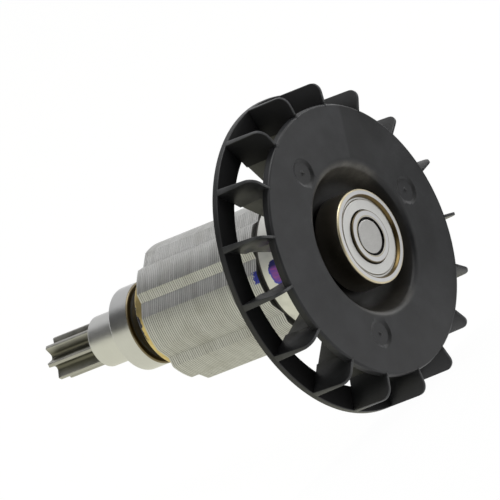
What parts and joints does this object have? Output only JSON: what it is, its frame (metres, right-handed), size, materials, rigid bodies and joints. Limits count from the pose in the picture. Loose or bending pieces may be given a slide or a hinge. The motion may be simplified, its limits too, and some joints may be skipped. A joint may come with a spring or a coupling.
{
  "type": "motor armature",
  "caption": "Motor rotor: a shaft with a cut pinion, a laminated core between balance rings, a black radial fan, and a ball bearing near each end.",
  "frame": {"origin": "centre of the rear bearing, on the spin axis at the middle of the bearing's width", "axes": "+X along the spin axis, from the pinion towards the fan and the rear bearing. +Z through one of the fan's blades, and Y completes the right-handed frame"},
  "size_m": [0.0816, 0.0635, 0.0635],
  "materials": {
    "shaft_steel": "ground bar, machined teeth",
    "sleeve_steel": "fine turned",
    "bearing_steel": "ground",
    "cage_steel": "pressed",
    "seal_rubber": "matt black",
    "ring_brass": "turned, with dark varnish marks",
    "lamination_steel": "stack of punched sheets, edges showing",
    "magnet": "sintered",
    "washer_plastic": "dark sheet",
    "ring_aluminium": "white-silver, with marking ink",
    "fan_plastic": "black moulding, fine grain",
    "shield_steel": "pressed sheet, satin"
  },
  "bodies": {
    "rear_outer_ring": {"rear_bearing_outer_ring": "bearing_steel", "rear_bearing_shield_outer": "shield_steel", "rear_bearing_shield_inner": "shield_steel"},
    "rotor": {"rotor_shaft": "shaft_steel", "distance_sleeve": "sleeve_steel", "front_bearing_inner_ring": "bearing_steel", "front_balance_ring": "ring_brass", "rotor_core": "lamination_steel", "magnet_1": "magnet", "magnet_2": "magnet", "magnet_3": "magnet", "magnet_4": "magnet", "insulating_washer": "washer_plastic", "rear_balance_ring": "ring_aluminium", "fan": "fan_plastic", "rear_bearing_inner_ring": "bearing_steel"},
    "rear_cage": {"rear_bearing_balls": "bearing_steel", "rear_bearing_cage": "cage_steel"},
    "front_outer_ring": {"front_bearing_outer_ring": "bearing_steel", "front_bearing_seal_inner": "seal_rubber", "front_bearing_seal_outer": "seal_rubber"},
    "front_cage": {"front_bearing_balls": "bearing_steel", "front_bearing_cage": "cage_steel"}
  },
  "joints": [
    {"name": "rotor_spin", "type": "hinge", "parent": "rear_outer_ring", "child": "rotor", "pos_m": [0, 0, 0], "axis": [1, 0, 0], "continuous": true},
    {"name": "rear_cage_spin", "type": "hinge", "parent": "rear_outer_ring", "child": "rear_cage", "pos_m": [0, 0, 0], "axis": [1, 0, 0], "continuous": true},
    {"name": "front_ring_spin", "type": "hinge", "parent": "rotor", "child": "front_outer_ring", "pos_m": [-0.0554, 0, 0], "axis": [1, 0, 0], "continuous": true},
    {"name": "front_cage_spin", "type": "hinge", "parent": "rotor", "child": "front_cage", "pos_m": [-0.0554, 0, 0], "axis": [1, 0, 0], "continuous": true}
  ],
  "couplings": [
    {"joint": "rear_cage_spin", "follows": "rotor_spin", "ratio": 0.3477},
    {"joint": "front_cage_spin", "follows": "front_ring_spin", "ratio": 0.625}
  ]
}
